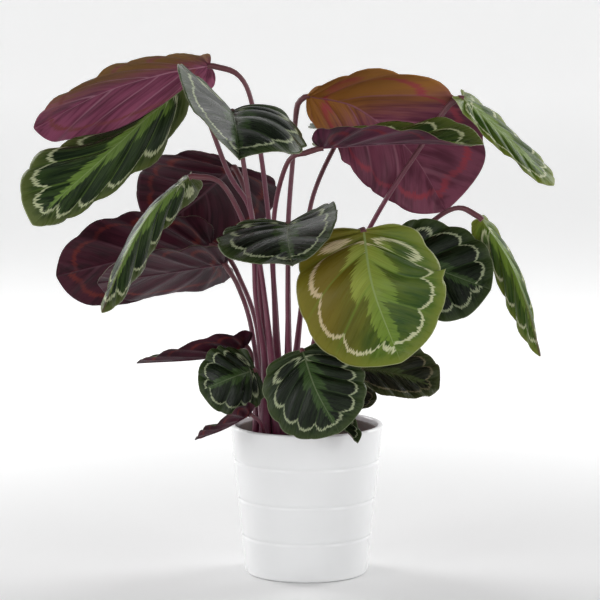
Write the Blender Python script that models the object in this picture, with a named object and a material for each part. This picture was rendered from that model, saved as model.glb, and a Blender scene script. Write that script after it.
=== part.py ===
"""Potted calathea: a glazed outer pot, a grower's pot with soil inside it, and 22 leaves on stalks.

Frame: the origin is the middle of the pot's flat underside, X to the right, Y to the back, Z up.
Everything is in metres. The leaf table below is in millimetres, and mm() turns it into metres.
"""
import math

import bpy
from mathutils import Vector

for old in list(bpy.data.objects):
    bpy.data.objects.remove(old, do_unlink=True)

# Outer pot
POT_HEIGHT = 0.165
POT_RIM_RADIUS = 0.084
POT_BASE_RADIUS = 0.067
POT_WALL = 0.0055
POT_FLOOR = 0.006
GROOVES = (0.043, 0.084, 0.126)      # heights of the three shallow grooves
GROOVE_DEPTH = 0.0007
GROOVE_HALF = 0.0018
# Grower's pot inside it
INNER_TOP = 0.160
INNER_RIM_RADIUS = 0.0757
INNER_BASE_RADIUS = 0.0555
INNER_WALL = 0.0013
GAP = 0.0004                         # clearance between bodies that rest on each other
# Soil
SOIL_TOP = 0.150
SOIL_EDGE_DROP = 0.004               # the soil falls away a little at the wall
# Leaves
BLADE_THICK = 0.0012
BLADE_ROWS = 10                      # rows from the leaf's base to its tip
BLADE_COLS = 3                       # columns from the midrib to each margin
STALK_SIDES = 6
STALK_GAP = 0.0026                   # the stalk stops this far short of the blade
POT_SIDES = 48

COLOURS = {
    "pot_glaze": (0.86, 0.86, 0.85, 1.0),
    "grower_plastic": (0.06, 0.022, 0.012, 1.0),
    "soil": (0.045, 0.028, 0.018, 1.0),
    "leaf": (0.03, 0.05, 0.015, 1.0),
    "stalk": (0.20, 0.03, 0.08, 1.0),
}


def material(name):
    """Return the Principled material of this name, made on first use."""
    found = bpy.data.materials.get(name)
    if found is None:
        found = bpy.data.materials.new(name)
        found.use_nodes = True
        shader = found.node_tree.nodes["Principled BSDF"]
        shader.inputs["Base Color"].default_value = COLOURS[name]
        shader.inputs["Roughness"].default_value = 0.45
    return found


def add_body(name, verts, faces, finish):
    """Make one named mesh object from its corner points and faces."""
    mesh = bpy.data.meshes.new(name)
    mesh.from_pydata([tuple(v) for v in verts], [], faces)
    mesh.update()
    body = bpy.data.objects.new(name, mesh)
    body.data.materials.append(material(finish))
    bpy.context.scene.collection.objects.link(body)


def turned(name, profile, sides, finish):
    """Turn a profile of (radius, height) about Z. It starts and ends on the axis, outside first."""
    verts, faces, rings = [], [], []
    for radius, height in profile:
        if radius < 1e-6:
            rings.append([len(verts)])
            verts.append((0.0, 0.0, height))
        else:
            rings.append(list(range(len(verts), len(verts) + sides)))
            for k in range(sides):
                a = 2 * math.pi * k / sides
                verts.append((radius * math.cos(a), radius * math.sin(a), height))
    for low, high in zip(rings, rings[1:]):
        for k in range(sides):
            n = (k + 1) % sides
            if len(low) == 1:
                faces.append((low[0], high[n], high[k]))
            elif len(high) == 1:
                faces.append((low[k], low[n], high[0]))
            else:
                faces.append((low[k], low[n], high[n], high[k]))
    add_body(name, verts, faces, finish)


def pot_radius(z):
    """Outer radius of the glazed pot's straight tapered side at height z."""
    return POT_BASE_RADIUS + (POT_RIM_RADIUS - POT_BASE_RADIUS) * z / POT_HEIGHT


def outer_pot():
    """The glazed pot: rounded foot, tapered side with three grooves, rounded rim, open inside."""
    line = [(0, 0), (POT_BASE_RADIUS - 0.0035, 0), (POT_BASE_RADIUS - 0.001, 0.0012),
            (pot_radius(0.0045), 0.0045)]
    for z in GROOVES:
        line += [(pot_radius(z - GROOVE_HALF), z - GROOVE_HALF),
                 (pot_radius(z) - GROOVE_DEPTH, z),
                 (pot_radius(z + GROOVE_HALF), z + GROOVE_HALF)]
    top, rim = POT_HEIGHT, POT_RIM_RADIUS
    inner = rim - POT_WALL
    line += [(pot_radius(top - 0.003), top - 0.003), (rim - 0.0008, top - 0.0008),
             (rim - 0.0022, top), (inner + 0.0018, top), (inner + 0.0004, top - 0.0012),
             (pot_radius(top - 0.004) - POT_WALL, top - 0.004),
             (pot_radius(0.012) - POT_WALL, 0.012), (POT_BASE_RADIUS - POT_WALL - 0.001, POT_FLOOR),
             (0, POT_FLOOR)]
    turned("outer_pot", line, POT_SIDES, "pot_glaze")


def inner_radius(z):
    """Outer radius of the grower's pot at height z."""
    low = POT_FLOOR + GAP
    return INNER_BASE_RADIUS + (INNER_RIM_RADIUS - INNER_BASE_RADIUS) * (z - low) / (INNER_TOP - low)


def grower_pot():
    """The thin plastic pot that stands on the glazed pot's floor, with a small rolled lip."""
    low = POT_FLOOR + GAP
    floor = low + INNER_WALL
    line = [(0, low), (INNER_BASE_RADIUS - 0.002, low), (inner_radius(low + 0.002), low + 0.002),
            (inner_radius(INNER_TOP - 0.007), INNER_TOP - 0.007),
            (inner_radius(INNER_TOP - 0.006) + 0.0009, INNER_TOP - 0.006),
            (INNER_RIM_RADIUS + 0.0009, INNER_TOP - 0.0007), (INNER_RIM_RADIUS + 0.0002, INNER_TOP),
            (INNER_RIM_RADIUS - INNER_WALL, INNER_TOP - 0.0003),
            (inner_radius(floor + 0.002) - INNER_WALL, floor + 0.002),
            (INNER_BASE_RADIUS - INNER_WALL - 0.002, floor), (0, floor)]
    turned("grower_pot", line, 40, "grower_plastic")


def soil():
    """The plug of potting soil, flat round the stalks and falling a little towards the wall."""
    low = POT_FLOOR + 2 * GAP + INNER_WALL
    fit = INNER_WALL + GAP
    edge = SOIL_TOP - SOIL_EDGE_DROP
    line = [(0, low), (INNER_BASE_RADIUS - fit - 0.003, low),
            (inner_radius(low + 0.003) - fit - 0.0003, low + 0.003),
            (inner_radius(edge) - fit, edge), (0.0665, SOIL_TOP), (0, SOIL_TOP)]
    turned("potting_soil", line, 40, "soil")


def mm(point):
    """A point in millimetres as a vector in metres."""
    return Vector(point) / 1000.0


def smooth_path(points, count):
    """Return count points evenly spaced along a smooth curve through the given ones, and its length."""
    ends = [points[0] * 2 - points[1]] + list(points) + [points[-1] * 2 - points[-2]]
    fine = []
    for a, b, c, d in zip(ends, ends[1:], ends[2:], ends[3:]):
        chord = (c - b).length
        start, stop = (c - a) / 2, (d - b) / 2
        start *= min(1.0, 1.5 * chord / start.length)
        stop *= min(1.0, 1.5 * chord / stop.length)
        for k in range(16):
            u = k / 16
            fine.append(b * (2 * u**3 - 3 * u**2 + 1) + start * (u**3 - 2 * u**2 + u)
                        + c * (3 * u**2 - 2 * u**3) + stop * (u**3 - u**2))
    fine.append(points[-1].copy())
    run = [0.0]
    for a, b in zip(fine, fine[1:]):
        run.append(run[-1] + (b - a).length)
    out, k = [], 0
    for i in range(count):
        want = run[-1] * i / (count - 1)
        while k < len(run) - 2 and run[k + 1] < want:
            k += 1
        u = (want - run[k]) / (run[k + 1] - run[k])
        out.append(fine[k].lerp(fine[k + 1], min(max(u, 0.0), 1.0)))
    return out, run[-1]


def stalk(name, points, radius, foot_radius):
    """A round stalk through the points, thicker at its foot, which stands level on the soil."""
    rings = 5 + len(points)
    path, length = smooth_path(points, rings)
    verts, faces = [], []
    side = Vector((1, 0, 0))
    for i, centre in enumerate(path):
        if i == 0:
            along = Vector((0, 0, 1))
        else:
            along = (path[min(i + 1, rings - 1)] - path[i - 1]).normalized()
        side = (side - along * side.dot(along)).normalized()
        other = along.cross(side)
        share = i / (rings - 1)
        r = radius + (foot_radius - radius) * max(0.0, 1 - share / 0.45) ** 1.5
        for k in range(STALK_SIDES):
            a = 2 * math.pi * k / STALK_SIDES
            verts.append(centre + side * (r * math.cos(a)) + other * (r * math.sin(a)))
    n = STALK_SIDES
    for i in range(rings - 1):
        for k in range(n):
            j = (k + 1) % n
            faces.append((i * n + k, i * n + j, (i + 1) * n + j, (i + 1) * n + k))
    faces.append(tuple(reversed(range(n))))
    faces.append(tuple(range((rings - 1) * n, rings * n)))
    add_body(name, verts, faces, "stalk")


class Blade:
    """A leaf blade bent along its midrib, with each half folded and curled about the midrib.

    midrib: points from base to tip in mm. halves: widths of the left and right half in mm, seen from
    above with the tip away. facing: the way the upper face looks, at the base and at the tip.
    fold, tip_fold: degrees that each half is raised (or, below 0, dropped) at the base and the tip.
    curl: further degrees gained from the midrib to the margin. lobe: how far the base lobes reach back.
    """

    def __init__(self, midrib, halves, facing, fold, tip_fold, curl, lobe):
        self.path, self.length = smooth_path([mm(p) for p in midrib], 41)
        self.halves = [w / 1000.0 for w in halves]
        self.facing = [Vector(f).normalized() for f in facing]
        self.fold, self.tip_fold, self.curl, self.lobe = fold, tip_fold, curl, lobe

    def flat(self, s, t, half):
        """Flat place (across, along) of row s (0 base, 1 tip) and column t (0 midrib, 1 margin)."""
        a = math.pi * s
        edge_x = half * math.sin(a) ** 0.74 if 0 < s < 1 else 0.0
        back = self.lobe * math.sin(a) * (1 - s) ** 3
        edge_y = self.length * (0.965 * (1 - math.cos(a)) / 2 + 0.035 * s**16 - back)
        mid_y = self.length * s**2.1
        return t * edge_x, mid_y + (edge_y - mid_y) * t**1.25

    def frame(self, y):
        """Point, direction, upward normal and share of the length at distance y along the midrib."""
        last = len(self.path) - 1
        u = min(max(y / self.length, 0.0), 0.9999) * last
        i = int(u)
        along = (self.path[i + 1] - self.path[i]).normalized()
        before = (self.path[max(i, 1)] - self.path[max(i, 1) - 1]).normalized()
        along = (before.lerp(along, u - i) if i else along).normalized()
        point = self.path[i].lerp(self.path[i + 1], u - i) + along * min(y, 0.0)
        up = self.facing[0].lerp(self.facing[1], u / last)
        up = (up - along * up.dot(along)).normalized()
        return point, along, up, u / last

    def place(self, s, t, lift):
        """Point of the blade at row s and column t (-1 left margin, 1 right margin), lifted."""
        hand = 1 if t >= 0 else 0
        x, y = self.flat(s, abs(t), self.halves[hand])
        point, along, up, share = self.frame(y)
        out = along.cross(up) * (1 if hand else -1)
        base = self.fold[hand] * (1 - share) + self.tip_fold[hand] * share
        flat_x = rise = angle = 0.0
        for k in range(8):
            angle = math.radians(base + self.curl[hand] * (k + 0.5) / 8 * x / self.halves[hand])
            flat_x += math.cos(angle) * x / 8
            rise += math.sin(angle) * x / 8
        tilt = 0.0 if t == 0 else angle
        return (point + out * (flat_x - math.sin(tilt) * lift) + up * (rise + math.cos(tilt) * lift))

    def body(self, name):
        """Make the closed shell of the blade."""
        rows, cols = BLADE_ROWS, 2 * BLADE_COLS + 1
        verts, faces, layers = [], [], []
        for lift in (BLADE_THICK / 2, -BLADE_THICK / 2):
            layer = []
            for i in range(rows + 1):
                if i in (0, rows):
                    layer.append([len(verts)] * cols)
                    verts.append(self.place(i / rows, 0, lift))
                    continue
                layer.append(list(range(len(verts), len(verts) + cols)))
                for j in range(cols):
                    verts.append(self.place(i / rows, j / BLADE_COLS - 1, lift))
            layers.append(layer)
        top, under = layers
        for i in range(rows):
            for j in range(cols - 1):
                for layer, flip in ((top, False), (under, True)):
                    a, b = layer[i][j], layer[i][j + 1]
                    c, d = layer[i + 1][j + 1], layer[i + 1][j]
                    for tri in ((a, b, c), (a, c, d)):
                        if len(set(tri)) == 3:
                            faces.append(tri[::-1] if flip else tri)
            for j, flip in ((0, False), (cols - 1, True)):
                a, b = top[i][j], top[i + 1][j]
                c, d = under[i + 1][j], under[i][j]
                for tri in ((a, b, c), (a, c, d)):
                    faces.append(tri[::-1] if flip else tri)
        add_body(name, verts, faces, "leaf")


LEAVES = {}


def leaf(name, stalk_mm, midrib, halves, facing, fold=(0, 0), curl=(0, 0), tip_fold=None,
         lobe=0.33, thick=(2.3, 4.2)):
    """Note down one leaf of the table. thick: stalk radius at the blade and at the soil, in mm."""
    LEAVES[name] = (stalk_mm, thick, Blade(midrib, halves, facing, fold, tip_fold or fold, curl, lobe))


# Tall leaves, left to right
leaf("upper_left", [(-30, 15), (-35, 25, 300), (-45, 30, 420), (-60, 30, 515), (-75, 30, 545)],
     [(-105, 30, 555), (-160, 30, 545), (-225, 20, 525), (-295, -10, 490)],
     (60, 55), [(-.3, .6, .75), (-.3, .6, .65)], fold=(-5, -10), curl=(-20, -10), lobe=.15)
leaf("left_drooping", [(-40, -10), (-50, -5, 300), (-60, 0, 395), (-85, 5, 440), (-115, -5, 520)],
     [(-130, -20, 535), (-170, -55, 505), (-215, -85, 465), (-260, -100, 425), (-290, -105, 395)],
     (45, 70), [(-.3, -.4, .85), (.05, -1, .15)], fold=(-80, -45), curl=(-10, -15), tip_fold=(-45, -5),
     lobe=.02)
leaf("top_centre", [(-30, -25), (-45, -25, 305), (-60, -20, 400), (-75, -15, 495)],
     [(-80, -30, 510), (-75, -100, 500), (-70, -165, 470)],
     (85, 85), [(.1, -.3, .95), (.1, -.35, .9)], fold=(30, 40), curl=(-85, 0))
leaf("upper_right", [(-20, 10), (-20, 30, 300), (-20, 40, 380), (-15, 50, 450), (-10, 50, 510)],
     [(0, 50, 520), (55, 70, 505), (115, 90, 455), (155, 80, 390)],
     (70, 95), [(0, .8, .6), (-.1, .85, .4)], fold=(-85, -25), curl=(10, -5), tip_fold=(-30, 5), lobe=.1)
leaf("right_folded", [(-25, -10), (-35, -15, 305), (-35, -10, 395), (-20, -25, 455), (0, -30, 465)],
     [(15, -30, 470), (100, -30, 475), (190, -40, 475)],
     (50, 50), [(0, .1, 1), (0, -.1, 1)], fold=(15, 25), curl=(10, 20), tip_fold=(25, 0))
leaf("far_right", [(-10, 25), (20, 50, 270), (75, 45, 385), (125, 40, 465), (155, 40, 510)],
     [(170, 40, 520), (220, 30, 475), (270, 15, 425)],
     (35, 25), [(.3, -.6, .8), (.4, -.6, .6)], fold=(-15, 0), curl=(-20, 10))
leaf("right_hanging", [(-5, 10), (35, 30, 260), (105, 50, 345), (135, 40, 380), (165, 20, 400)],
     [(190, 10, 390), (220, 0, 345), (240, -10, 295), (255, -10, 240)],
     (30, 30), [(.2, -.9, .5), (.3, -.95, .1)], fold=(-45, -50), curl=(-10, -10), tip_fold=(-65, -70),
     lobe=.15)
leaf("back_hidden", [(-20, 25), (-5, 80, 290), (5, 100, 395), (35, 120, 465)],
     [(45, 130, 480), (75, 190, 485), (110, 250, 455)],
     (65, 65), [(0, 0, 1), (.1, .8, .6)], curl=(-10, -10))
# Leaves of middle height
leaf("centre", [(-15, -15), (-20, -30, 270), (-20, -35, 360)],
     [(-20, -40, 390), (-20, -110, 380), (-15, -170, 360)],
     (60, 75), [(0, -.25, .95), (0, -.35, .95)], fold=(20, 5), curl=(15, -20), lobe=.5)
leaf("front_large", [(-5, -25), (10, -40, 270), (40, -60, 350), (50, -80, 380)],
     [(60, -100, 390), (70, -130, 330), (100, -120, 250)],
     (90, 80), [(0, -1, .45), (.05, -1, .05)], fold=(-20, -5), curl=(-10, -10), lobe=.3)
leaf("right_dark", [(0, 0), (25, 10, 250), (75, 20, 335)], [(95, 0, 355), (145, -10, 335), (200, -20, 315)],
     (55, 55), [(0, -1, .5), (.1, -1, .4)], fold=(0, -5), curl=(-10, -10))
leaf("back_left", [(-35, 30), (-50, 50, 295), (-60, 70, 385), (-70, 70, 420)],
     [(-80, 80, 440), (-125, 140, 395), (-175, 160, 355)], (75, 75), [(0, .7, .7), (0, 1, .1)])
leaf("left_dark", [(-45, 20), (-55, 70, 260), (-75, 90, 315), (-90, 95, 340)],
     [(-105, 100, 350), (-185, 120, 335), (-280, 100, 315)], (60, 60), [(0, .75, .6), (-.1, .9, .3)])
leaf("left_purple", [(-45, 5), (-60, 20, 265), (-75, 40, 310)],
     [(-90, 45, 335), (-155, 45, 325), (-230, 35, 315)], (60, 60), [(0, .5, .85), (0, .55, .8)])
leaf("left_narrow", [(-45, -25), (-45, -15, 230), (-55, -20, 305), (-60, -20, 365), (-90, -30, 430)],
     [(-125, -30, 440), (-165, -50, 405), (-195, -60, 355), (-220, -60, 295)],
     (45, 45), [(-.2, -.7, .6), (-.4, -.8, .3)], fold=(-80, -40), curl=(-20, -30))
# Low leaves near the rim
leaf("low_left_narrow", [(-55, -5), (-60, 0, 240)], [(-65, 0, 250), (-110, -20, 240), (-185, -20, 235)],
     (32, 32), [(0, .1, 1), (0, 0, 1)], fold=(50, 20), curl=(20, 0), tip_fold=(10, 5), thick=(1.8, 3))
leaf("low_left", [(-55, -15), (-55, -20, 195)], [(-55, -40, 230), (-80, -60, 225), (-115, -60, 210)],
     (40, 40), [(.1, -1, .4), (-.1, -1, .3)], fold=(-5, -10), curl=(-10, -10), thick=(1.8, 3))
leaf("low_left_rim", [(-45, -40), (-50, -55, 175)], [(-60, -60, 185), (-90, -80, 172), (-120, -85, 162)],
     (26, 26), [(0, .3, 1), (0, .2, 1)], fold=(35, 10), curl=(20, 0), tip_fold=(5, 5), thick=(1.8, 3))
leaf("front_low", [(-10, -40), (-5, -50, 215), (-5, -75, 240)],
     [(-5, -90, 260), (10, -115, 220), (35, -120, 175)],
     (55, 55), [(-.05, -1, .4), (0, -1, .1)], fold=(-5, -5), curl=(-10, -10), lobe=.2, thick=(2, 3.4))
leaf("low_right", [(10, 15), (20, 20, 195)], [(50, 10, 225), (95, 0, 220), (145, -10, 205)],
     (40, 40), [(0, -.6, .8), (0, -.7, .7)], fold=(10, 20), curl=(10, -10), thick=(1.8, 3))
leaf("low_right_small", [(10, -5), (20, 5, 175)], [(30, 10, 180), (55, 20, 190), (70, 30, 200)],
     (25, 25), [(0, -.5, .8), (0, -.7, .7)], fold=(10, 10), curl=(10, 10), thick=(1.6, 2.4))
leaf("rim_right", [(5, -40), (10, -50, 175)], [(20, -60, 185), (35, -80, 178), (55, -95, 160)],
     (16, 16), [(0, -.3, 1), (.3, -.5, .8)], fold=(25, 35), curl=(10, 10), thick=(1.6, 2.4))

outer_pot()
grower_pot()
soil()
for leaf_name, (way, thick, blade) in LEAVES.items():
    blade.body("leaf_" + leaf_name)
    end = blade.path[0] - (blade.path[0] - mm(way[-1])).normalized() * STALK_GAP
    foot = Vector((way[0][0] / 1000, way[0][1] / 1000, SOIL_TOP + GAP))
    lower = foot + Vector((0, 0, 0.006))
    stalk("stalk_" + leaf_name, [foot, lower] + [mm(p) for p in way[1:]] + [end],
          thick[0] / 1000, thick[1] / 1000)
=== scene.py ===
"""A potted calathea in a glazed cover pot, dressed for the studio.

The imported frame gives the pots' and the soil's outer sizes. The leaf table repeats the CAD model's
points for each stalk and blade. Each sub-assembly is a class that holds its sizes, builds its meshes
and dresses them; each finish is a small frozen class that builds its material. Lengths are in metres,
except where a class says that they are in mm.
"""
import logging
import math
from dataclasses import dataclass, field
from enum import Enum

import bpy
import numpy as np
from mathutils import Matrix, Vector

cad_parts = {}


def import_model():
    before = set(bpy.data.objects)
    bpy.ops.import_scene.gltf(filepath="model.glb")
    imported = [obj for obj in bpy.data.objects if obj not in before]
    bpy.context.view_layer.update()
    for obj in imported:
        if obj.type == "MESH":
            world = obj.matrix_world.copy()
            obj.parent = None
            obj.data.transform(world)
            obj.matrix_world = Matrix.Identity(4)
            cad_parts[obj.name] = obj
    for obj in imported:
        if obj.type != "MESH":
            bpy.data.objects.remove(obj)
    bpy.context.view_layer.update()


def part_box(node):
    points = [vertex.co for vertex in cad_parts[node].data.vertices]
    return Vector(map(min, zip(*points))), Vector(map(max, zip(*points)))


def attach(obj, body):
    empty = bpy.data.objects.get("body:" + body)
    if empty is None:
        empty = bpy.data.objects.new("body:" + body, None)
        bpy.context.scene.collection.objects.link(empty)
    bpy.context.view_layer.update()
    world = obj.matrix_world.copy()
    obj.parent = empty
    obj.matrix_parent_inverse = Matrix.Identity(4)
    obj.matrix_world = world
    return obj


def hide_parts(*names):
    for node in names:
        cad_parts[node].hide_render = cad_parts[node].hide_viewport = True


log = logging.getLogger("calathea")
Array = np.ndarray
Colour = tuple[float, float, float]
Pair = tuple[float, float]


# --------------------------------------------------------------------------------------- nodes
class Graph:
    """A thin helper for building a shader or a Geometry Nodes tree."""

    def __init__(self, tree: bpy.types.NodeTree) -> None:
        """Keep the tree to build in.

        Args:
            tree: A material's or a modifier's node tree.
        """
        self.tree = tree

    def add(self, kind: str, inputs: dict | None = None, **settings: object) -> bpy.types.Node:
        """Add one node.

        Args:
            kind: The node's type name.
            inputs: Values or output sockets for its inputs, by name or by place.
            settings: Properties of the node itself.

        Returns:
            The new node.
        """
        node = self.tree.nodes.new(kind)
        for name, value in settings.items():
            setattr(node, name, value)
        for name, value in (inputs or {}).items():
            if isinstance(value, bpy.types.NodeSocket):
                self.tree.links.new(value, node.inputs[name])
            else:
                node.inputs[name].default_value = value
        return node

    def math(self, operation: str, a: object, b: object = 0.0, clamp: bool = False) -> bpy.types.NodeSocket:
        """Return the result of one arithmetic step on sockets or numbers."""
        return self.add("ShaderNodeMath", {0: a, 1: b}, operation=operation, use_clamp=clamp).outputs[0]

    def ramp(self, value: object, low: float, high: float, start: float = 0.0,
             end: float = 1.0) -> bpy.types.NodeSocket:
        """Return value turned smoothly from start to end as it goes from low to high."""
        if low > high:
            low, high, start, end = high, low, end, start
        node = self.add("ShaderNodeMapRange", {"Value": value}, interpolation_type="SMOOTHSTEP")
        for name, number in (("From Min", low), ("From Max", high), ("To Min", start), ("To Max", end)):
            node.inputs[name].default_value = number
        return node.outputs["Result"]

    def noise(self, vector: object, scale: float, detail: float = 2.0,
              roughness: float = 0.5) -> bpy.types.NodeSocket:
        """Return a smooth noise between 0 and 1 at the given places."""
        node = self.add("ShaderNodeTexNoise", {"Vector": vector, "Scale": scale, "Detail": detail,
                                               "Roughness": roughness})
        return node.outputs[0]

    def blend(self, share: object, first: object, second: object) -> bpy.types.NodeSocket:
        """Return a colour between first and second."""
        node = self.add("ShaderNodeMix", data_type="RGBA", clamp_factor=True)
        for place, value in ((0, share), (6, first), (7, second)):
            if isinstance(value, bpy.types.NodeSocket):
                self.tree.links.new(value, node.inputs[place])
            elif place == 0:
                node.inputs[place].default_value = value
            else:
                node.inputs[place].default_value = (*value, 1.0)
        return node.outputs[2]

    def vector(self, x: object, y: object, z: object = 0.0) -> bpy.types.NodeSocket:
        """Return three values joined into one vector."""
        return self.add("ShaderNodeCombineXYZ", {0: x, 1: y, 2: z}).outputs[0]

    def bump(self, height: object, strength: float, distance: float,
             under: object = None) -> bpy.types.NodeSocket:
        """Return a surface normal roughened by a height."""
        inputs = {"Height": height, "Strength": strength, "Distance": distance}
        if under is not None:
            inputs["Normal"] = under
        return self.add("ShaderNodeBump", inputs).outputs[0]

    def attribute(self, name: str) -> bpy.types.NodeSocket:
        """Return a number stored on the mesh, for a material."""
        return self.add("ShaderNodeAttribute", attribute_name=name).outputs["Fac"]


def new_material(name: str) -> tuple[bpy.types.Material, Graph, bpy.types.Node]:
    """Make a material that holds one Principled shader.

    Args:
        name: The finish's name.

    Returns:
        The material, a helper on its tree, and its Principled shader.
    """
    found = bpy.data.materials.new(name)
    found.use_nodes = True
    return found, Graph(found.node_tree), found.node_tree.nodes["Principled BSDF"]


def new_mesh_object(name: str, verts: Array, faces: list, smooth: bool = True) -> bpy.types.Object:
    """Make a mesh object at the origin and link it to the scene.

    Args:
        name: The piece's name.
        verts: Corner points, one row each.
        faces: Tuples of corner numbers, turning outwards.
        smooth: Whether the faces are shaded smooth.

    Returns:
        The new object.
    """
    mesh = bpy.data.meshes.new(name)
    mesh.from_pydata(np.asarray(verts).tolist(), [], faces)
    mesh.polygons.foreach_set("use_smooth", [smooth] * len(mesh.polygons))
    mesh.update()
    made = bpy.data.objects.new(name, mesh)
    bpy.context.scene.collection.objects.link(made)
    return made


class Recipe:
    """A Geometry Nodes tree with named inputs, applied to an object and turned to a plain mesh."""

    def __init__(self, name: str, inputs: dict[str, tuple[str, object]]) -> None:
        """Start a tree with a geometry input, the named inputs and a geometry output.

        Args:
            name: The tree's name.
            inputs: For each named input, its socket type and its usual value.
        """
        self.tree = bpy.data.node_groups.new(name, "GeometryNodeTree")
        face = self.tree.interface
        face.new_socket("Geometry", in_out="INPUT", socket_type="NodeSocketGeometry")
        self.identifiers: dict[str, str] = {}
        for label, (kind, usual) in inputs.items():
            socket = face.new_socket(label, in_out="INPUT", socket_type=kind)
            self.identifiers[label] = socket.identifier
            if usual is not None:
                socket.default_value = usual
        face.new_socket("Geometry", in_out="OUTPUT", socket_type="NodeSocketGeometry")
        self.graph = Graph(self.tree)
        self.source = self.graph.add("NodeGroupInput").outputs
        self.sink = self.graph.add("NodeGroupOutput")

    def close(self, geometry: bpy.types.NodeSocket) -> None:
        """End the tree: real meshes, the piece's material, and out."""
        real = self.graph.add("GeometryNodeRealizeInstances", {"Geometry": geometry})
        painted = self.graph.add("GeometryNodeSetMaterial",
                                 {"Geometry": real.outputs[0], "Material": self.source["Material"]})
        self.tree.links.new(painted.outputs[0], self.sink.inputs[0])

    def apply(self, maker: bpy.types.Object, name: str, values: dict[str, object]) -> bpy.types.Object:
        """Run the tree on an object and keep the result as a plain mesh.

        Args:
            maker: The object to run it on. It is removed afterwards.
            name: The finished piece's name.
            values: Values for the named inputs.

        Returns:
            The finished piece, at the origin, with no modifier.
        """
        modifier = maker.modifiers.new("recipe", "NODES")
        modifier.node_group = self.tree
        for label, value in values.items():
            modifier[self.identifiers[label]] = value
        graph = bpy.context.evaluated_depsgraph_get()
        mesh = bpy.data.meshes.new_from_object(maker.evaluated_get(graph), depsgraph=graph)
        mesh.name = name
        data = maker.data
        bpy.data.objects.remove(maker, do_unlink=True)
        (bpy.data.curves if isinstance(data, bpy.types.Curve) else bpy.data.meshes).remove(data)
        made = bpy.data.objects.new(name, mesh)
        bpy.context.scene.collection.objects.link(made)
        return made


# ------------------------------------------------------------------------------------- finishes
@dataclass(frozen=True)
class Glaze:
    """White glaze on an earthenware pot."""

    white: Colour = (0.83, 0.835, 0.84)
    roughness: float = 0.16

    def build(self) -> bpy.types.Material:
        """Return the glaze: an even white with a faint unevenness in its gloss and surface."""
        made, g, shader = new_material("white_glaze")
        place = g.add("ShaderNodeTexCoord").outputs["Object"]
        cloud = g.noise(place, 14.0, 3.0)
        tint = g.blend(g.ramp(cloud, 0.3, 0.7), self.white, tuple(c * 0.975 for c in self.white))
        made.node_tree.links.new(tint, shader.inputs["Base Color"])
        gloss = g.ramp(g.noise(place, 60.0, 2.0), 0.2, 0.8, self.roughness, self.roughness + 0.08)
        made.node_tree.links.new(gloss, shader.inputs["Roughness"])
        ripple = g.bump(g.noise(place, 22.0, 1.0), 0.25, 0.0006)
        made.node_tree.links.new(ripple, shader.inputs["Normal"])
        shader.inputs["Coat Weight"].default_value = 0.35
        shader.inputs["Coat Roughness"].default_value = 0.06
        return made


@dataclass(frozen=True)
class GrowerPlastic:
    """Thin moulded brown plastic."""

    brown: Colour = (0.060, 0.022, 0.012)

    def build(self) -> bpy.types.Material:
        """Return the plastic: matt brown with fine moulding grain and specks of soil dust."""
        made, g, shader = new_material("grower_plastic")
        place = g.add("ShaderNodeTexCoord").outputs["Object"]
        dust = g.ramp(g.noise(place, 90.0, 4.0, 0.7), 0.5, 0.72)
        tint = g.blend(dust, self.brown, (0.045, 0.028, 0.019))
        made.node_tree.links.new(tint, shader.inputs["Base Color"])
        made.node_tree.links.new(g.bump(g.noise(place, 900.0, 2.0), 0.2, 0.0002), shader.inputs["Normal"])
        shader.inputs["Roughness"].default_value = 0.5
        return made


@dataclass(frozen=True)
class PottingSoil:
    """Dark peaty soil, paler where it has dried."""

    dark: Colour = (0.018, 0.010, 0.006)
    pale: Colour = (0.085, 0.048, 0.026)

    def build(self) -> bpy.types.Material:
        """Return the soil: dark crumbs, some drier and paler."""
        made, g, shader = new_material("potting_soil")
        place = g.add("ShaderNodeTexCoord").outputs["Object"]
        grain = g.noise(place, 420.0, 4.0, 0.65)
        clump = g.noise(place, 70.0, 2.0)
        tint = g.blend(g.ramp(g.math("MULTIPLY", grain, clump), 0.2, 0.42), self.dark, self.pale)
        made.node_tree.links.new(tint, shader.inputs["Base Color"])
        made.node_tree.links.new(g.bump(grain, 0.7, 0.0008), shader.inputs["Normal"])
        shader.inputs["Roughness"].default_value = 0.92
        shader.inputs["Specular IOR Level"].default_value = 0.25
        return made


@dataclass(frozen=True)
class StalkSkin:
    """The skin of a stalk: purple, darker and browner towards the blade, streaked and flecked."""

    name: str = "stalk_skin"
    foot: Colour = (0.19, 0.026, 0.075)
    middle: Colour = (0.15, 0.022, 0.052)
    top: Colour = (0.115, 0.028, 0.032)

    def build(self) -> bpy.types.Material:
        """Return the skin, with fine lengthwise fibres."""
        made, g, shader = new_material(self.name)
        place = g.add("ShaderNodeTexCoord").outputs["Object"]
        along, around = g.attribute("along"), g.attribute("around")
        body = g.blend(g.ramp(along, 0.0, 0.35), self.foot, self.middle)
        body = g.blend(g.ramp(along, 0.55, 1.0), body, self.top)
        streak = g.noise(g.vector(g.math("MULTIPLY", around, 9.0), g.math("MULTIPLY", along, 5.0)), 3.0, 3.0)
        body = g.blend(g.ramp(streak, 0.35, 0.75, 0.0, 0.55), body, tuple(c * 0.42 for c in self.foot))
        fleck = g.ramp(g.noise(place, 260.0, 2.0), 0.62, 0.74, 0.0, 0.35)
        body = g.blend(fleck, body, (0.20, 0.085, 0.07))
        made.node_tree.links.new(body, shader.inputs["Base Color"])
        fibre = g.noise(g.vector(g.math("MULTIPLY", around, 40.0), g.math("MULTIPLY", along, 8.0)), 2.0, 2.0)
        made.node_tree.links.new(g.bump(fibre, 0.35, 0.0004), shader.inputs["Normal"])
        shader.inputs["Roughness"].default_value = 0.38
        shader.inputs["Sheen Weight"].default_value = 0.15
        return made


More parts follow.
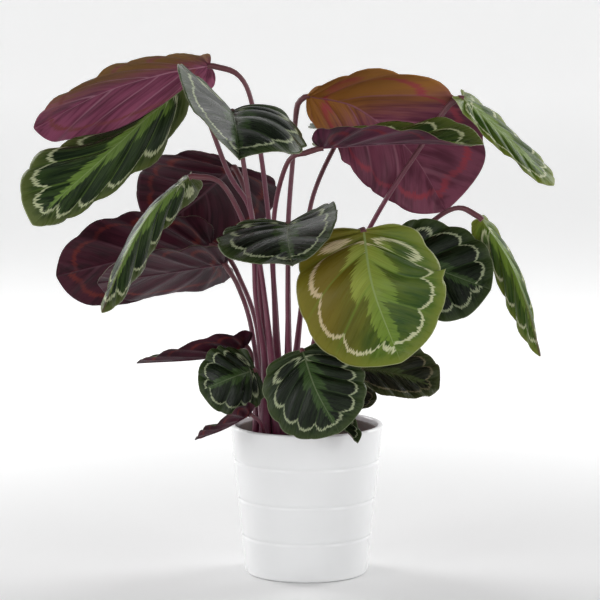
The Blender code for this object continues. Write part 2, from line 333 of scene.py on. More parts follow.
@dataclass(frozen=True)
class LeafSkin:
    """The two faces of a calathea blade, patterned along its own veins.

    Above: a dark field, a feathered brush along the midrib, a pale toothed ring, a lighter border.
    Below: a streaky purple with a soft ring and lighter veins. A second, lighter colouring that comes in
    from one side of the blade is painted backlight glow, standing in for light shining through it from
    behind.
    """

    name: str
    field: Colour = (0.004, 0.007, 0.003)
    field_light: Colour = (0.010, 0.018, 0.006)
    brush: Colour = (0.036, 0.068, 0.018)
    ring: Colour = (0.34, 0.38, 0.23)
    border: Colour = (0.010, 0.019, 0.006)
    border_edge: Colour = (0.034, 0.052, 0.015)
    # Painted backlight glow on the upper face: lighter, yellower colours where light shines through the
    # blade.
    backlit_glow: Colour = (0.10, 0.09, 0.02)
    backlit_glow_brush: Colour = (0.20, 0.24, 0.06)
    backlit_glow_ring: Colour = (0.42, 0.40, 0.24)
    backlit_glow_share: float = 0.0
    below: Colour = (0.075, 0.016, 0.032)
    below_dark: Colour = (0.030, 0.008, 0.014)
    below_ring: Colour = (0.17, 0.020, 0.026)
    below_vein: Colour = (0.20, 0.075, 0.105)
    # Painted backlight glow on the lower face: a warm orange colouring where light shines through the blade.
    below_backlit_glow: Colour = (0.22, 0.085, 0.035)
    below_backlit_glow_share: float = 0.0
    brush_width: float = 0.23
    ring_place: float = 0.80
    ring_width: float = 0.040
    roughness: float = 0.27
    specular: float = 0.18
    glow: float = 0.05

    def veins(self, g: Graph) -> dict[str, bpy.types.NodeSocket]:
        """Return the coordinates that follow the blade and the streaks that run along its veins."""
        vein, across, rim = g.attribute("vein"), g.attribute("across"), g.attribute("rim")
        row = g.math("ADD", vein, g.math("MULTIPLY", g.attribute("half"), 31.0))
        cell = g.math("FRACT", vein)
        crease = g.math("MULTIPLY", g.math("ABSOLUTE", g.math("SUBTRACT", cell, 0.5)), 2.0)

        def streaks(per_row: float, along: float, level: float, detail: float) -> bpy.types.NodeSocket:
            """Return noise drawn out along the veins."""
            spot = g.vector(g.math("MULTIPLY", row, per_row), g.math("MULTIPLY", across, along), level)
            return g.noise(spot, 1.0, detail)

        return {"row": row, "cell": cell, "crease": crease, "across": across, "rim": rim,
                "broad": streaks(1.3, 1.4, 7.0, 1.0), "fine": streaks(7.0, 2.0, 0.0, 2.0),
                "hair": streaks(22.0, 2.6, 3.0, 1.0), "thread": streaks(60.0, 1.5, 5.0, 0.0),
                "backlit_glow": g.attribute("backlit_glow")}

    def above_colour(self, g: Graph, v: dict[str, bpy.types.NodeSocket]) -> bpy.types.NodeSocket:
        """Return the pattern of the upper face, with its painted backlight glow."""
        # Painted backlight glow: the lighter colouring, coming in from one side of the blade.
        backlit_glow = g.math("MULTIPLY", g.ramp(g.math("ADD", v["backlit_glow"], g.math("MULTIPLY", v["broad"], 0.25)),
                                          0.42, 0.98), self.backlit_glow_share)
        light = g.math("ADD", g.math("MULTIPLY", v["fine"], 0.55), g.math("MULTIPLY", v["broad"], 0.45))
        colour = g.blend(g.ramp(light, 0.40, 0.66), self.field, self.field_light)
        colour = g.blend(backlit_glow, colour, self.backlit_glow)
        tuft = g.math("MULTIPLY", g.math("ADD", 0.42, g.math("MULTIPLY", v["cell"], 0.75)), self.brush_width)
        teeth = g.math("MULTIPLY", g.math("SUBTRACT", v["hair"], 0.5), self.brush_width * 1.1)
        spread = g.math("MULTIPLY", g.math("SUBTRACT", v["broad"], 0.5), self.brush_width * 0.9)
        reach = g.math("ADD", g.math("ADD", tuft, teeth), spread)
        brush = g.ramp(g.math("SUBTRACT", reach, v["across"]), -0.015, 0.035)
        brush = g.math("MULTIPLY", brush, g.ramp(v["rim"], 0.84, 0.70))
        brush = g.math("MULTIPLY", brush, g.ramp(v["hair"], 0.25, 0.65, 0.62, 1.0))
        colour = g.blend(brush, colour, g.blend(backlit_glow, self.brush, self.backlit_glow_brush))
        spike = g.math("MULTIPLY", g.math("POWER", v["crease"], 3.0), 0.125)
        wander = g.math("MULTIPLY", g.math("SUBTRACT", v["broad"], 0.5), 0.10)
        place = g.math("ADD", v["rim"], g.math("SUBTRACT", spike, wander))
        ragged = g.math("MULTIPLY", g.math("SUBTRACT", v["hair"], 0.5), 0.17)
        frayed = g.math("ADD", place, g.math("MULTIPLY", ragged, 0.75))
        border = g.ramp(frayed, self.ring_place, self.ring_place + 0.03)
        outer = g.blend(g.ramp(v["rim"], self.ring_place, 1.0), self.border, self.border_edge)
        outer = g.blend(g.ramp(v["fine"], 0.35, 0.7, 0.0, 0.5), outer, self.border_edge)
        outer = g.blend(g.math("MULTIPLY", backlit_glow, 0.8), outer, self.backlit_glow)
        colour = g.blend(border, colour, outer)
        half = self.ring_width / 2
        start = self.ring_place - half
        inner = g.ramp(g.math("ADD", place, ragged), start - 0.012, start + 0.012)
        outside = g.ramp(frayed, self.ring_place + half + 0.014, self.ring_place + half - 0.008)
        ring = g.math("MULTIPLY", inner, outside)
        ring = g.math("MULTIPLY", ring, g.ramp(v["thread"], 0.25, 0.55, 0.72, 1.0))
        ring = g.math("MULTIPLY", ring, g.ramp(v["broad"], 0.22, 0.42, 0.35, 1.0))
        colour = g.blend(ring, colour, g.blend(backlit_glow, self.ring, self.backlit_glow_ring))
        # Line along each lateral-vein crease: partly the vein's own colour, partly a painted highlight
        # standing in for glare streaks along the pleats.
        line = g.math("MULTIPLY", g.ramp(v["crease"], 0.90, 0.985), g.ramp(v["rim"], 0.98, 0.6, 0.15, 0.5))
        colour = g.blend(line, colour, self.brush)
        thread = g.math("MULTIPLY", g.ramp(v["thread"], 0.60, 0.75), g.ramp(v["rim"], 1.0, 0.4, 0.05, 0.22))
        colour = g.blend(thread, colour, self.brush)
        midrib = g.blend(0.25, self.brush, self.ring)
        colour = g.blend(g.ramp(v["across"], 0.020, 0.010, 0.0, 0.9), colour, midrib)
        return g.blend(g.ramp(v["rim"], 0.985, 0.998, 0.0, 0.55), colour, self.ring)

    def below_colour(self, g: Graph, v: dict[str, bpy.types.NodeSocket]) -> bpy.types.NodeSocket:
        """Return the pattern of the lower face, with its painted backlight glow."""
        light = g.math("ADD", g.math("MULTIPLY", v["fine"], 0.45), g.math("MULTIPLY", v["broad"], 0.55))
        colour = g.blend(g.ramp(light, 0.36, 0.62), self.below_dark, self.below)
        # Painted backlight glow on the underside, coming in from one side of the blade.
        backlit_glow = g.ramp(g.math("ADD", v["backlit_glow"], g.math("MULTIPLY", v["fine"], 0.3)), 0.70, 0.98)
        colour = g.blend(g.math("MULTIPLY", backlit_glow, self.below_backlit_glow_share), colour, self.below_backlit_glow)
        spike = g.math("MULTIPLY", g.math("POWER", v["crease"], 3.0), 0.07)
        ragged = g.math("MULTIPLY", g.math("SUBTRACT", v["hair"], 0.5), 0.12)
        place = g.math("ADD", v["rim"], g.math("SUBTRACT", spike, ragged))
        ring = g.math("MULTIPLY", g.ramp(place, self.ring_place - 0.04, self.ring_place),
                      g.ramp(place, self.ring_place + 0.07, self.ring_place + 0.02))
        ring = g.math("MULTIPLY", ring, g.ramp(v["broad"], 0.3, 0.6, 0.25, 0.9))
        colour = g.blend(ring, colour, self.below_ring)
        line = g.math("MULTIPLY", g.ramp(v["crease"], 0.86, 0.97), g.ramp(v["rim"], 0.97, 0.3, 0.12, 0.75))
        colour = g.blend(line, colour, self.below_vein)
        thread = g.math("MULTIPLY", g.ramp(v["thread"], 0.62, 0.78), g.ramp(v["rim"], 1.0, 0.3, 0.05, 0.25))
        colour = g.blend(thread, colour, self.below_vein)
        return g.blend(g.ramp(v["across"], 0.030, 0.014, 0.0, 0.85), colour, self.below_vein)

    def build(self) -> bpy.types.Material:
        """Return the material, both faces in one, with a little light showing through."""
        made, g, shader = new_material(self.name)
        v = self.veins(g)
        upper = g.attribute("upper")
        colour = g.blend(upper, self.below_colour(g, v), self.above_colour(g, v))
        made.node_tree.links.new(colour, shader.inputs["Base Color"])
        satin = g.math("MULTIPLY", g.math("SUBTRACT", 1.0, upper), 0.14)
        sheen = g.ramp(v["fine"], 0.3, 0.7, self.roughness - 0.06, self.roughness + 0.08)
        gloss = g.math("ADD", sheen, satin)
        made.node_tree.links.new(gloss, shader.inputs["Roughness"])
        ribs = g.bump(v["thread"], 0.5, 0.00022, g.bump(v["hair"], 0.45, 0.0006))
        made.node_tree.links.new(ribs, shader.inputs["Normal"])
        shader.inputs["Specular IOR Level"].default_value = self.specular
        through = g.add("ShaderNodeBsdfTranslucent", {"Color": colour, "Normal": ribs})
        mixed = g.add("ShaderNodeMixShader", {0: self.glow, 1: shader.outputs[0], 2: through.outputs[0]})
        output = made.node_tree.nodes["Material Output"]
        made.node_tree.links.new(mixed.outputs[0], output.inputs["Surface"])
        return made


class Tint(Enum):
    """The leaf colourings on this plant; some carry painted backlight glow and some painted shade. The last
    four are named for their undersides.
    """

    FRESH = LeafSkin("leaf_fresh", field=(0.009, 0.018, 0.007), field_light=(0.030, 0.056, 0.014),
                     brush=(0.14, 0.23, 0.045), ring=(0.50, 0.54, 0.32), border=(0.032, 0.052, 0.013),
                     border_edge=(0.100, 0.125, 0.034), backlit_glow=(0.11, 0.13, 0.022),
                     backlit_glow_brush=(0.30, 0.36, 0.08),
                     backlit_glow_share=0.8, below=(0.20, 0.030, 0.080), below_dark=(0.08, 0.015, 0.035),
                     ring_place=0.85, glow=0.16)
    # Lighter, yellower greens: partly the leaves' own colour, partly painted glow of light shining through
    # them from behind.
    OLIVE_BACKLIT = LeafSkin("leaf_olive_backlit", field=(0.030, 0.070, 0.008), field_light=(0.085, 0.13, 0.012),
                     brush=(0.15, 0.24, 0.030), ring=(0.58, 0.60, 0.36), border=(0.065, 0.125, 0.012),
                     border_edge=(0.17, 0.21, 0.025), backlit_glow=(0.20, 0.135, 0.014),
                     backlit_glow_brush=(0.42, 0.42, 0.08),
                     backlit_glow_ring=(0.62, 0.46, 0.28), backlit_glow_share=0.80, brush_width=0.32, ring_width=0.044,
                     roughness=0.30, glow=0.18)
    DARK = LeafSkin("leaf_dark")
    # A duller, browner copy of the dark colouring: partly the leaves' own colour, partly painted shade on the
    # two low right leaves.
    DEEP_SHADED = LeafSkin("leaf_deep_shaded", field=(0.009, 0.011, 0.007), field_light=(0.024, 0.026, 0.012),
                    brush=(0.055, 0.075, 0.025), ring=(0.17, 0.15, 0.085), border=(0.020, 0.028, 0.010),
                    border_edge=(0.05, 0.06, 0.02))
    # These two undersides carry painted backlight glow: a warm orange colouring that comes in from one side,
    # over their own pink and purple.
    PINK_BELOW = LeafSkin("leaf_pink_below", below=(0.42, 0.11, 0.21), below_dark=(0.19, 0.048, 0.088),
                          below_ring=(0.30, 0.085, 0.085), below_vein=(0.58, 0.27, 0.37),
                          below_backlit_glow=(0.27, 0.14, 0.035), below_backlit_glow_share=0.95, glow=0.24)
    BRONZE_BELOW = LeafSkin("leaf_bronze_below", below=(0.27, 0.075, 0.125), below_dark=(0.12, 0.028, 0.052),
                            below_ring=(0.42, 0.060, 0.085), below_vein=(0.40, 0.16, 0.22),
                            below_backlit_glow=(0.40, 0.17, 0.035), below_backlit_glow_share=0.95, glow=0.24)
    PLUM_BELOW = LeafSkin("leaf_plum_below", field=(0.018, 0.034, 0.008), field_light=(0.055, 0.085, 0.014),
                          brush=(0.12, 0.19, 0.030), ring=(0.46, 0.48, 0.27), border=(0.040, 0.058, 0.012),
                          border_edge=(0.095, 0.12, 0.025), below=(0.110, 0.024, 0.052),
                          below_dark=(0.042, 0.010, 0.020), below_vein=(0.20, 0.075, 0.11), glow=0.12)
    # Darker, browner undersides: partly the leaves' own colour, partly painted shade on the low leaves at the
    # back and left.
    MAROON_SHADED_BELOW = LeafSkin("leaf_maroon_shaded_below", below=(0.060, 0.011, 0.022),
                            below_dark=(0.023, 0.005, 0.010), below_ring=(0.14, 0.022, 0.018),
                            below_vein=(0.10, 0.036, 0.052), glow=0.06)


# --------------------------------------------------------------------------------------- blades
def unit(v: Array) -> Array:
    """Return vectors of length 1."""
    return v / np.maximum(np.linalg.norm(v, axis=-1, keepdims=True), 1e-12)


def smooth_path(points: list[tuple[float, float, float]], count: int) -> tuple[Array, float]:
    """Lay points evenly along a smooth curve through the given ones.

    Args:
        points: The points to pass through, in metres.
        count: How many points to return.

    Returns:
        The points, one row each, and the curve's length.
    """
    p = np.asarray(points, float)
    ends = np.vstack([2 * p[0] - p[1], p, 2 * p[-1] - p[-2]])
    u = np.arange(16)[:, None] / 16
    fine = []
    for a, b, c, d in zip(ends, ends[1:], ends[2:], ends[3:]):
        start, stop, chord = (c - a) / 2, (d - b) / 2, np.linalg.norm(c - b)
        start = start * min(1.0, 1.5 * chord / np.linalg.norm(start))
        stop = stop * min(1.0, 1.5 * chord / np.linalg.norm(stop))
        fine.append(b * (2 * u**3 - 3 * u**2 + 1) + start * (u**3 - 2 * u**2 + u)
                    + c * (3 * u**2 - 2 * u**3) + stop * (u**3 - u**2))
    line = np.vstack(fine + [p[-1:]])
    run = np.concatenate([[0.0], np.cumsum(np.linalg.norm(np.diff(line, axis=0), axis=1))])
    even = np.linspace(0.0, run[-1], count)
    return np.stack([np.interp(even, run, line[:, k]) for k in range(3)], axis=1), float(run[-1])


@dataclass
class Blade:
    """A leaf blade bent along its midrib, each half folded and curled about it.

    Halves, folds and curls are given left half first, as seen from above with the tip away.
    """

    name: str
    midrib: list[tuple[float, float, float]]
    halves: Pair
    facing: list[tuple[float, float, float]]
    fold: Pair
    tip_fold: Pair
    curl: Pair
    lobe: float
    pleats: float = 6.5
    pleat_height: float = 0.0030
    wave: float = 0.0014
    seed: int = 1
    sweep: float = 2.9
    rows: int = 96
    columns: int = 30
    thickness: float = 0.0005
    scallop: float = 0.045
    path: Array = field(init=False)
    length: float = field(init=False)

    def __post_init__(self) -> None:
        """Lay out the midrib."""
        self.path, self.length = smooth_path(self.midrib, 81)

    def flat(self, s: Array, t: Array, half: Array) -> tuple[Array, Array]:
        """Return the flat place of each grid point.

        Args:
            s: Row, 0 at the base and 1 at the tip.
            t: Column, 0 at the midrib and 1 at the margin.
            half: Width of the half that the point is on.

        Returns:
            Distances across and along the blade.
        """
        a = math.pi * s
        edge_x = half * np.maximum(np.sin(a), 0.0) ** 0.74
        back = self.lobe * np.sin(a) * (1 - s) ** 3
        edge_y = self.length * (0.965 * (1 - np.cos(a)) / 2 + 0.035 * s**16 - back)
        mid_y = self.length * s**self.sweep
        return t * edge_x, mid_y + (edge_y - mid_y) * t**1.15

    def rim_share(self, x: Array, y: Array, half: Array) -> Array:
        """Return how far out each flat point lies between the blade's middle (0) and its margin (1)."""
        s = np.linspace(0.0, 1.0, 241)
        ex, ey = self.flat(s, np.ones_like(s), np.ones_like(s))
        angle = np.arctan2(ex, ey / self.length - 0.5)
        reach = np.hypot(ex, (ey / self.length - 0.5) * 2)
        order = np.argsort(angle)
        px, py = x / half, (y / self.length - 0.5)
        mine = np.arctan2(px, py)
        return np.clip(np.hypot(px, py * 2) / np.interp(mine, angle[order], reach[order]), 0.0, 1.0)

    def frame(self, y: Array) -> tuple[Array, Array, Array, Array]:
        """Return the point, direction, upward normal and share of the length at distances y."""
        share = np.clip(y / self.length, 0.0, 1.0)
        places = np.linspace(0.0, 1.0, len(self.path))
        directions = unit(np.gradient(self.path, axis=0))

        def along_path(table: Array) -> Array:
            """Return a table of the path read at each share of the length."""
            return np.stack([np.interp(share, places, table[:, k]) for k in range(3)], axis=-1)

        along = unit(along_path(directions))
        point = along_path(self.path) + along * np.minimum(y, 0.0)[..., None]
        base, tip = (unit(np.asarray(f, float)) for f in self.facing)
        up = base + (tip - base) * share[..., None]
        up = unit(up - along * np.sum(up * along, axis=-1, keepdims=True))
        return point, along, up, share

    def surface(self) -> dict[str, Array]:
        """Return the bent middle surface and what is known of each of its points."""
        i = np.arange(self.rows + 1) / self.rows
        s = i - 0.72 * np.sin(2 * math.pi * i) / (2 * math.pi)
        j = np.arange(-self.columns, self.columns + 1) / self.columns
        t = np.sign(j) * np.abs(j) ** 1.3
        s, t = np.meshgrid(s, t, indexing="ij")
        right = t >= 0

        def by_side(pair: Pair) -> Array:
            """Return the left or the right value at each grid point."""
            return np.where(right, pair[1], pair[0])

        rng = np.random.default_rng(self.seed)
        phase = rng.uniform(0, 2 * math.pi, 4)
        size, across = np.abs(t), by_side(self.halves)
        x, y = self.flat(s, size, across)
        rim = self.rim_share(x, y, across)
        warp = 0.25 * np.sin(5 * s + phase[0]) + 0.3 * right
        vein = s * self.pleats + warp
        nibble = np.sin(23 * s + phase[0] + 2 * right) + np.sin(41 * s + phase[1] - 3 * right)
        scallop = np.abs(np.sin(math.pi * vein)) ** 0.7 - 0.6
        x = x * (1 + (0.006 * nibble + self.scallop * scallop) * size**4 * np.sin(math.pi * s))
        point, along, up, share = self.frame(y)
        out = np.cross(along, up) * np.where(right, 1.0, -1.0)[..., None]
        start = by_side(self.fold) * (1 - share) + by_side(self.tip_fold) * share
        gone = rise = np.zeros_like(x)
        angle = np.zeros_like(x)
        for k in range(8):
            angle = np.radians(start + by_side(self.curl) * (k + 0.5) / 8 * x / across)
            gone, rise = gone + np.cos(angle) * x / 8, rise + np.sin(angle) * x / 8
        waviness = self.wave * size**3 * np.sin(math.pi * s) ** 0.5
        slow, quick = np.sin(15 * s + phase[2] + 2 * right), np.sin(27 * s + phase[3] + right)
        rise = rise + waviness * (slow + 0.6 * quick)
        level = np.where(size == 0, 0.0, angle)[..., None]
        upward = unit(up * np.cos(level) - out * np.sin(level))
        return {"point": point + out * gone[..., None] + up * rise[..., None], "upward": upward,
                "vein": vein, "across": size, "rim": rim,
                "half": np.where(right, 1.0, 0.0), "flat_x": x,
                "swell": np.clip(x / 0.012, 0, 1) * np.sin(math.pi * s) ** 0.6 * (1 - 0.25 * size**6)}

    def shell(self, backlit_glow: Array | None = None) -> bpy.types.Object:
        """Make the closed shell of the blade, with its midrib raised below and sunk above.

        Args:
            backlit_glow: Direction in space towards which the blade takes its second colour, if any.

        Returns:
            The shell, with numbers stored on its points for the pleats and the pattern.
        """
        grid = self.surface()
        width = np.maximum(np.abs(grid["flat_x"]), 0.0)
        rib = np.exp(-(width / 0.0014) ** 2)
        half = self.thickness / 2
        lifts = (half - 0.0003 * rib, -half - 0.0009 * rib)
        rows, columns = grid["across"].shape
        index, verts = [], []
        stored = {k: [] for k in ("vein", "across", "rim", "half", "swell", "upper", "backlit_glow")}
        upward = []
        # Painted backlight glow: 0 to 1 across the blade towards the given direction, stored for the
        # material.
        towards = None if backlit_glow is None else grid["point"] @ unit(np.asarray(backlit_glow, float))
        if towards is not None:
            towards = (towards - towards.min()) / np.ptp(towards)
        for layer, lift in enumerate(lifts):
            points = grid["point"] + grid["upward"] * lift[..., None]
            numbers = np.zeros((rows, columns), int)
            for i in range(rows):
                pole = i in (0, rows - 1)
                picks = [columns // 2] if pole else range(columns)
                numbers[i] = len(verts) + (0 if pole else np.arange(columns))
                for j in picks:
                    verts.append(points[i, j])
                    upward.append(grid["upward"][i, j])
                    for key in ("vein", "across", "rim", "half", "swell"):
                        stored[key].append(grid[key][i, j])
                    stored["upper"].append(1.0 - layer)
                    stored["backlit_glow"].append(0.0 if towards is None else towards[i, j])
            index.append(numbers)
        faces = []
        for layer, numbers in enumerate(index):
            quads = np.stack([numbers[:-1, :-1], numbers[:-1, 1:], numbers[1:, 1:], numbers[1:, :-1]],
                             axis=-1)
            for quad in quads.reshape(-1, 4).tolist():
                corners = list(dict.fromkeys(quad))
                faces.append(tuple(corners if layer == 0 else corners[::-1]))
        for column, turn in ((0, 1), (columns - 1, -1)):
            for i in range(rows - 1):
                quad = (index[0][i, column], index[0][i + 1, column],
                        index[1][i + 1, column], index[1][i, column])
                faces.append(tuple(int(k) for k in quad[::turn]))
        made = new_mesh_object(self.name, np.array(verts), faces)
        for key, values in stored.items():
            made.data.attributes.new(key, "FLOAT", "POINT").data.foreach_set("value", np.array(values, "f"))
        arrow = made.data.attributes.new("upward", "FLOAT_VECTOR", "POINT")
        arrow.data.foreach_set("vector", np.array(upward, "f").ravel())
        return made


def pleat_recipe() -> Recipe:
    """Return the tree that pleats a blade along its lateral veins."""
    recipe = Recipe("pleats", {"Pleat height": ("NodeSocketFloat", 0.0016),
                               "Ridge height": ("NodeSocketFloat", 0.0003),
                               "Material": ("NodeSocketMaterial", None)})
    g = recipe.graph

    def stored(name: str, kind: str = "FLOAT") -> bpy.types.NodeSocket:
        """Return a number stored on the blade's points."""
        return g.add("GeometryNodeInputNamedAttribute", {"Name": name}, data_type=kind).outputs[0]

    turn = g.math("MULTIPLY", stored("vein"), math.pi)
    bulge = g.math("POWER", g.math("ABSOLUTE", g.math("SINE", turn)), 0.8)
    fold = g.math("SUBTRACT", bulge, 0.6)
    ridge = g.math("SINE", g.math("MULTIPLY", turn, 10.0))
    height = g.math("ADD", g.math("MULTIPLY", fold, recipe.source["Pleat height"]),
                    g.math("MULTIPLY", ridge, recipe.source["Ridge height"]))
    amount = g.math("MULTIPLY", height, stored("swell"))
    offset = g.add("ShaderNodeVectorMath", {0: stored("upward", "FLOAT_VECTOR"), "Scale": amount},
                   operation="SCALE")
    moved = g.add("GeometryNodeSetPosition",
                  {"Geometry": recipe.source["Geometry"], "Offset": offset.outputs[0]})
    recipe.close(moved.outputs[0])
    return recipe


def stalk_recipe() -> Recipe:
    """Return the tree that turns a line into a stalk: thick foot, slim middle, swollen top."""
    recipe = Recipe("stalk", {"Foot radius": ("NodeSocketFloat", 0.004),
                              "Blade radius": ("NodeSocketFloat", 0.0022),
                              "Rings": ("NodeSocketInt", 60), "Sides": ("NodeSocketInt", 14),
                              "Material": ("NodeSocketMaterial", None)})
    g, source = recipe.graph, recipe.source
    even = g.add("GeometryNodeResampleCurve", {"Curve": source["Geometry"], "Count": source["Rings"]})
    share = g.add("GeometryNodeSplineParameter").outputs["Factor"]
    above_foot = g.math("DIVIDE", share, 0.45)
    foot = g.math("POWER", g.math("MAXIMUM", g.math("SUBTRACT", 1.0, above_foot), 0.0), 1.5)
    swell = g.math("MULTIPLY", g.ramp(share, 0.90, 0.955), 0.22)
    slim = g.math("MULTIPLY", source["Blade radius"], g.math("ADD", 1.0, swell))
    extra = g.math("MULTIPLY", g.math("SUBTRACT", source["Foot radius"], source["Blade radius"]), foot)
    sized = g.add("GeometryNodeSetCurveRadius",
                  {"Curve": even.outputs[0], "Radius": g.math("ADD", slim, extra)})
    marked = g.add("GeometryNodeStoreNamedAttribute",
                   {"Geometry": sized.outputs[0], "Name": "along", "Value": share},
                   data_type="FLOAT", domain="POINT")
    ring = g.add("GeometryNodeCurvePrimitiveCircle", {"Resolution": source["Sides"], "Radius": 1.0})
    turned = g.add("GeometryNodeSplineParameter").outputs["Factor"]
    around = g.math("ABSOLUTE", g.math("SUBTRACT", turned, 0.5))
    rim = g.add("GeometryNodeStoreNamedAttribute",
                {"Geometry": ring.outputs[0], "Name": "around", "Value": around},
                data_type="FLOAT", domain="POINT")
    tube = g.add("GeometryNodeCurveToMesh", {"Curve": marked.outputs[0], "Profile Curve": rim.outputs[0],
                                             "Scale": g.add("GeometryNodeInputRadius").outputs[0],
                                             "Fill Caps": True})
    smooth = g.add("GeometryNodeSetShadeSmooth", {"Geometry": tube.outputs[0]})
    recipe.close(smooth.outputs[0])
    return recipe


def crumb_recipe() -> Recipe:
    """Return the tree that scatters crumbs of soil over a surface."""
    recipe = Recipe("soil_crumbs", {"Crumb radius": ("NodeSocketFloat", 0.0016),
                                    "Crumbs per square metre": ("NodeSocketFloat", 90000.0),
                                    "Seed": ("NodeSocketInt", 5),
                                    "Material": ("NodeSocketMaterial", None)})
    g, source = recipe.graph, recipe.source
    spots = g.add("GeometryNodeDistributePointsOnFaces",
                  {"Mesh": source["Geometry"], "Density": source["Crumbs per square metre"],
                   "Seed": source["Seed"]},
                  distribute_method="RANDOM")
    ball = g.add("GeometryNodeMeshIcoSphere", {"Radius": source["Crumb radius"], "Subdivisions": 1})
    place = g.add("GeometryNodeInputPosition").outputs[0]
    lump = g.add("ShaderNodeTexNoise", {"Vector": place, "Scale": 700.0}).outputs["Color"]
    push = g.add("ShaderNodeVectorMath", {0: lump, 1: (0.5, 0.5, 0.5)}, operation="SUBTRACT").outputs[0]
    rough = g.add("ShaderNodeVectorMath", {0: push, "Scale": 0.0024}, operation="SCALE").outputs[0]
    crumb = g.add("GeometryNodeSetPosition", {"Geometry": ball.outputs[0], "Offset": rough})
    turn = g.add("FunctionNodeRandomValue", {"Seed": 3}, data_type="FLOAT_VECTOR")
    turn.inputs["Max"].default_value = (6.28, 6.28, 6.28)
    size = g.add("FunctionNodeRandomValue", {"Seed": 8}, data_type="FLOAT_VECTOR")
    size.inputs["Min"].default_value = (0.35, 0.35, 0.25)
    size.inputs["Max"].default_value = (1.25, 1.1, 0.8)
    strewn = g.add("GeometryNodeInstanceOnPoints",
                   {"Points": spots.outputs["Points"], "Instance": crumb.outputs[0],
                    "Rotation": turn.outputs[0], "Scale": size.outputs[0]})
    recipe.close(strewn.outputs[0])
    return recipe


# ---------------------------------------------------------------------------------------- plant
SHEATH = 1.85       # radius of the clasping sheath at a stalk's foot, against the CAD stalk's there
SKIN = 1.18         # radius of a stalk below its blade, against the CAD stalk's there


@dataclass
class Leaf:
    """One leaf: its stalk's way up from the soil, its blade, and its colouring.

    Points, halves and the stalk's two radii (blade end, foot) are in mm. Pleats and waves are in metres.
    """

    name: str
    stalk: list[tuple[float, ...]]
    midrib: list[tuple[float, float, float]]
    halves: Pair
    facing: list[tuple[float, float, float]]
    tint: Tint
    fold: Pair = (0, 0)
    curl: Pair = (0, 0)
    tip_fold: Pair | None = None
    lobe: float = 0.33
    thick: Pair = (2.3, 4.2)
    pleats: float = 6.5
    pleat_height: float = 0.0042
    wave: float = 0.0018
    scallop: float = 0.055
    sweep: float = 2.9
    # Direction in space towards which the blade's painted backlight glow comes in, if any.
    backlit_glow: tuple[float, float, float] | None = None

    def blade(self, seed: int) -> Blade:
        """Return the blade, in metres."""
        return Blade("blade_" + self.name, [tuple(c / 1000 for c in p) for p in self.midrib],
                     (self.halves[0] / 1000, self.halves[1] / 1000), self.facing, self.fold,
                     self.tip_fold or self.fold, self.curl, self.lobe, self.pleats, self.pleat_height,
                     self.wave, seed, self.sweep, scallop=self.scallop)

    def build_blade(self, recipe: Recipe, skins: dict[Tint, bpy.types.Material],
                    seed: int) -> bpy.types.Object:
        """Args:
            recipe: The pleating tree.
            skins: The material of each colouring.
            seed: Which small waves this blade gets.

        Returns:
            The finished blade.
        """
        shell = self.blade(seed).shell(self.backlit_glow)
        made = recipe.apply(shell, "blade_" + self.name,
                            {"Pleat height": self.pleat_height, "Ridge height": self.pleat_height * 0.07,
                             "Material": skins[self.tint]})
        return declare(made, "leaf_" + self.name)

    def build_stalk(self, recipe: Recipe, skin: bpy.types.Material, soil_top: float) -> bpy.types.Object:
        """Args:
            recipe: The stalk tree.
            skin: The stalks' material.
            soil_top: Height of the soil.

        Returns:
            The finished stalk.
        """
        foot = [c / 1000 for c in self.stalk[0]]
        way = [(foot[0], foot[1], soil_top - 0.004), (foot[0], foot[1], soil_top + 0.006)]
        way += [tuple(c / 1000 for c in p) for p in self.stalk[1:]]
        base = np.array(self.midrib[0]) / 1000
        blade = self.blade(0)
        way.append(tuple(base))
        line, _ = smooth_path(way, 60)
        line = np.vstack([line, line[-1] + unit(blade.path[1] - blade.path[0]) * 0.003])
        curve = bpy.data.curves.new("stalk_line", "CURVE")
        curve.dimensions = "3D"
        spline = curve.splines.new("POLY")
        spline.points.add(len(line) - 1)
        spline.points.foreach_set("co", np.hstack([line, np.ones((len(line), 1))]).ravel())
        maker = bpy.data.objects.new("stalk_line", curve)
        bpy.context.scene.collection.objects.link(maker)
        made = recipe.apply(maker, "petiole_" + self.name,
                            {"Foot radius": self.thick[1] * SHEATH / 1000,
                             "Blade radius": self.thick[0] * SKIN / 1000,
                             "Rings": 70, "Sides": 14, "Material": skin})
        return declare(made, "stalk_" + self.name)


def declare(piece: bpy.types.Object, node: str) -> bpy.types.Object:
    """Attach a piece to the root body, hide the CAD node that it stands for, and log its face count."""
    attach(piece, "root")
    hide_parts(node)
    log.info("%s: %d faces, stands for %s", piece.name, len(piece.data.polygons), node)
    return piece


